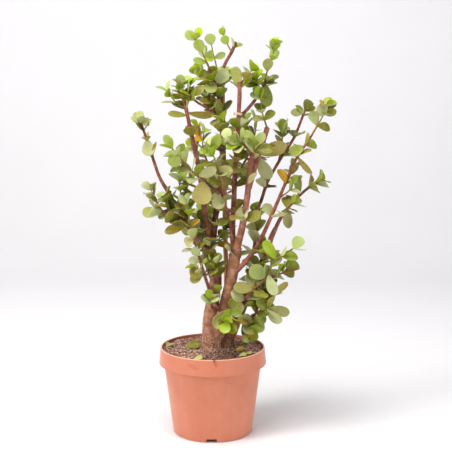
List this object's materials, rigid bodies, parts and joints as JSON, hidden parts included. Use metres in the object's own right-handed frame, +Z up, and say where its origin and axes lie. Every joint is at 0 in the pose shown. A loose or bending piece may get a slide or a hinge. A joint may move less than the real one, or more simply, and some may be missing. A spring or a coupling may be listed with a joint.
{
  "type": "potted jade plant",
  "caption": "Small-leaved jade plant trained as a little tree: woody trunks from one stool, pruned leafy branches and a cane stake, in a round plastic nursery pot with a broad rim band.",
  "frame": {"origin": "centre of the pot's flat underside, on the pot's axis", "axes": "+Z up along the pot's axis; -Y is the front, where the mix and the low leafy shoots show best; +X to the right"},
  "size_m": [0.3446, 0.215, 0.7354],
  "materials": {
    "pot": "terracotta-coloured moulded plastic, satin-matt",
    "soil": "damp granular potting mix of bark, peat and grit",
    "bark": "pinkish brown ringed bark, matt",
    "foliage": "fleshy green leaves with a waxy sheen on brown stems",
    "cane": "weathered cane",
    "wire": "plastic-coated garden wire",
    "raffia": "dry natural raffia"
  },
  "bodies": {
    "root": {"pot": "pot", "soil": "soil", "stake": "cane", "trunk_left": "bark", "trunk_centre": "foliage", "trunk_right": "foliage", "branch_right_long": "foliage", "fork_front": "foliage", "leader_centre": "foliage", "leader_left": "foliage", "branch_left_up": "foliage", "branch_left_low": "foliage", "branch_left_out": "foliage", "branch_front_left": "foliage", "shoot_left_hang": "foliage", "branch_right_main": "foliage", "shoot_right_tip": "foliage", "shoot_right_fork": "foliage", "branch_right_back": "foliage", "branch_mid_right": "foliage", "shoot_mid_right": "foliage", "shoot_mid_front": "foliage", "shoot_mid_left": "foliage", "branch_up_right": "foliage", "shoot_up_right": "foliage", "shoot_up_fan": "foliage", "branch_up_left": "foliage", "shoot_left_crown": "foliage", "shoot_left_crown_b": "foliage", "stub_top": "foliage", "shoot_top_left": "foliage", "shoot_top_mid": "foliage", "shoot_top_right": "foliage", "branch_right_low": "foliage", "shoot_right_inner": "foliage", "twig_right_bare": "bark", "branch_right_bottom": "foliage", "twig_right_bottom": "foliage", "stub_low": "bark", "shoot_low_front": "foliage", "shoot_low_left": "foliage", "shoot_left_front": "foliage", "shoot_centre_left": "foliage", "shoot_left_knot": "foliage", "shoot_right_crown": "foliage", "branch_back_centre": "foliage", "branch_back_right": "foliage", "branch_back_left": "foliage", "branch_back_upper": "foliage", "branch_back_high": "foliage", "shoot_low_right": "foliage", "wire_tie_low": "wire", "wire_tie_high": "wire", "raffia_tie": "raffia", "fallen_leaf_1": "foliage", "fallen_leaf_2": "foliage", "fallen_leaf_3": "foliage", "fallen_leaf_4": "foliage", "fallen_leaf_5": "foliage", "fallen_leaf_6": "foliage"}
  },
  "joints": []
}
